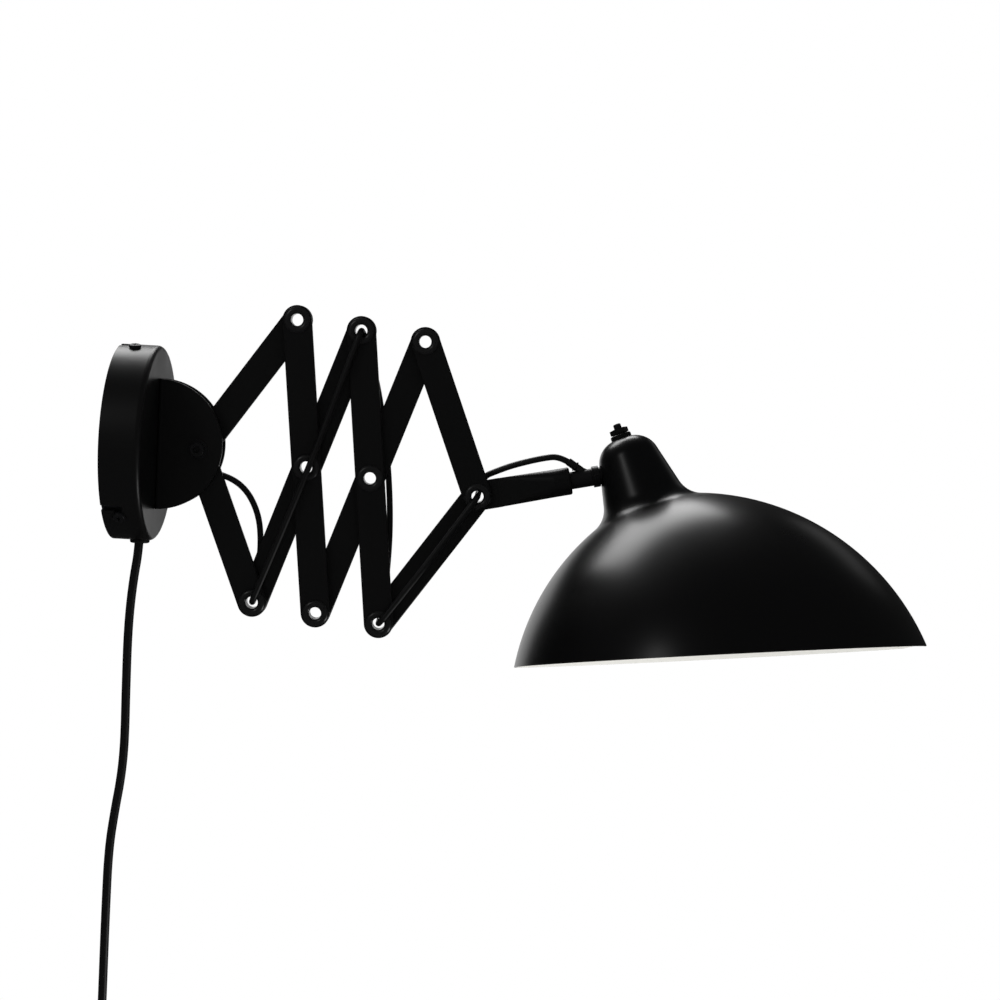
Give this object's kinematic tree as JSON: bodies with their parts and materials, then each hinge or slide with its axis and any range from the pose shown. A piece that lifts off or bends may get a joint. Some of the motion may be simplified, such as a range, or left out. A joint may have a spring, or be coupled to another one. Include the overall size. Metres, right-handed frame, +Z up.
{
  "type": "accordion wall lamp",
  "caption": "Black wall lamp on a scissor arm: round canopy, half-disc bracket, flat links on hollow rivets with the cable threaded through, bar, bell-necked spun shade cut at a slant; cord with plug.",
  "frame": {"origin": "centre of the canopy's back face, on the wall", "axes": "+X out of the wall along the arm, +Z up, +Y to the far side of the arm"},
  "size_m": [0.497, 0.2428, 0.5973],
  "materials": {
    "black_paint": "satin black powder coat, matte white inside the shade",
    "black_rivet": "satin black",
    "zinc_steel": "zinc plated",
    "dark_steel": "blackened steel",
    "nylon": "matte",
    "black_plastic": "matte",
    "white_plastic": "matte",
    "brass": "plain",
    "cable_sheath": "satin black sheath",
    "strap": "matte"
  },
  "bodies": {
    "wall_mount": {"canopy": "black_paint", "mounting_plate": "zinc_steel", "rim_screws": "dark_steel", "cord_grommet": "black_plastic", "terminal_block": "white_plastic", "cord_clamp": "black_plastic", "bracket": "black_paint", "bracket_screws": "zinc_steel", "cable_bush": "brass", "pivot_screw": "dark_steel", "pivot_washers": "dark_steel", "pivot_nut": "zinc_steel", "cable_inlet": "cable_sheath", "wall_cord": "cable_sheath", "cord_coil": "cable_sheath", "coil_tie": "strap", "plug": "black_plastic"},
    "arm_hub": {"pivot_sleeve": "zinc_steel", "pivot_rings": "nylon"},
    "wall_upper": {"link_wall_upper": "black_paint", "rivet_top_1": "black_rivet"},
    "inner_falling": {"link_inner_falling": "black_paint", "rivet_middle_1": "black_rivet", "rivet_low_2": "black_rivet"},
    "inner_rising": {"link_inner_rising": "black_paint", "rivet_low_1": "black_rivet", "rivet_top_2": "black_rivet", "cable_up": "cable_sheath"},
    "wall_lower": {"link_wall_lower": "black_paint", "cable_bow": "cable_sheath"},
    "outer_rising": {"link_outer_rising": "black_paint", "rivet_top_3": "black_rivet"},
    "outer_falling": {"link_outer_falling": "black_paint", "rivet_middle_2": "black_rivet", "rivet_low_3": "black_rivet", "cable_down": "cable_sheath"},
    "lamp_upper": {"link_lamp_upper": "black_paint"},
    "lamp_lower": {"link_lamp_lower": "black_paint", "cable_end": "cable_sheath"},
    "bar": {"bar": "black_paint", "bar_cap": "black_paint", "rod": "dark_steel", "cable_grip": "black_plastic", "collar": "black_paint", "collar_screw": "dark_steel", "rod_nut": "zinc_steel", "cable_over_bar": "cable_sheath"},
    "head": {"shade": "black_paint", "swivel_block": "zinc_steel", "stud": "dark_steel", "neck_nuts": "black_paint", "neck_washer": "black_paint", "holder_nipple": "zinc_steel", "lampholder": "black_plastic", "holder_contacts": "brass"},
    "lamp_hub": {"rivet_end": "black_rivet"}
  },
  "joints": [
    {"name": "arm_tilt", "type": "hinge", "parent": "wall_mount", "child": "arm_hub", "pos_m": [0.0488, 0, -0.002], "axis": [0, 1, 0], "range_deg": [-25, 25], "deforming": ["cable_bow"]},
    {"name": "extend", "type": "hinge", "parent": "arm_hub", "child": "wall_upper", "pos_m": [0.0488, 0, -0.002], "axis": [0, 1, 0], "range_deg": [-2.94, 17.22], "deforming": ["cable_bow", "cable_up", "cable_down", "cable_end", "cable_over_bar"]},
    {"name": "pin_top_1", "type": "hinge", "parent": "wall_upper", "child": "inner_falling", "pos_m": [0.1059, 0, 0.08034], "axis": [0, 1, 0], "range_deg": [-44.57, 7.63]},
    {"name": "pin_middle_1", "type": "hinge", "parent": "inner_falling", "child": "inner_rising", "pos_m": [0.11556, 0, -0.00964], "axis": [0, 1, 0], "range_deg": [-9.35, 54.69]},
    {"name": "pin_low_1", "type": "hinge", "parent": "inner_rising", "child": "wall_lower", "pos_m": [0.08581, 0, -0.09511], "axis": [0, 1, 0], "range_deg": [-44.57, 7.63]},
    {"name": "pin_low_2", "type": "hinge", "parent": "inner_falling", "child": "outer_rising", "pos_m": [0.12523, 0, -0.09962], "axis": [0, 1, 0], "range_deg": [-9.35, 54.69]},
    {"name": "pin_top_2", "type": "hinge", "parent": "inner_rising", "child": "outer_falling", "pos_m": [0.14531, 0, 0.07583], "axis": [0, 1, 0], "range_deg": [-54.69, 9.35]},
    {"name": "pin_top_3", "type": "hinge", "parent": "outer_rising", "child": "lamp_upper", "pos_m": [0.18472, 0, 0.07132], "axis": [0, 1, 0], "range_deg": [-44.57, 7.63]},
    {"name": "pin_low_3", "type": "hinge", "parent": "outer_falling", "child": "lamp_lower", "pos_m": [0.16464, 0, -0.10414], "axis": [0, 1, 0], "range_deg": [-7.63, 44.57]},
    {"name": "lamp_pin", "type": "hinge", "parent": "lamp_upper", "child": "lamp_hub", "pos_m": [0.22173, 0, -0.02179], "axis": [0, 1, 0], "range_deg": [-2.96, 17.24]},
    {"name": "bar_tilt", "type": "hinge", "parent": "lamp_hub", "child": "bar", "pos_m": [0.22173, 0, -0.02179], "axis": [0, 1, 0], "range_deg": [-30, 35], "deforming": ["cable_over_bar"]},
    {"name": "shade_swivel", "type": "hinge", "parent": "bar", "child": "head", "pos_m": [0.31669, 0, -0.00057], "axis": [0.9759, 0, 0.2181], "range_deg": [-49, 71]}
  ],
  "couplings": [
    {"joint": "pin_top_1", "follows": "extend", "ratio": -2.5873},
    {"joint": "pin_middle_1", "follows": "extend", "ratio": 3.1746},
    {"joint": "pin_low_1", "follows": "extend", "ratio": -2.5873},
    {"joint": "pin_low_2", "follows": "extend", "ratio": 3.1746},
    {"joint": "pin_top_2", "follows": "extend", "ratio": -3.1746},
    {"joint": "pin_top_3", "follows": "extend", "ratio": -2.5873},
    {"joint": "pin_low_3", "follows": "extend", "ratio": 2.5873},
    {"joint": "lamp_pin", "follows": "extend", "ratio": 1}
  ]
}
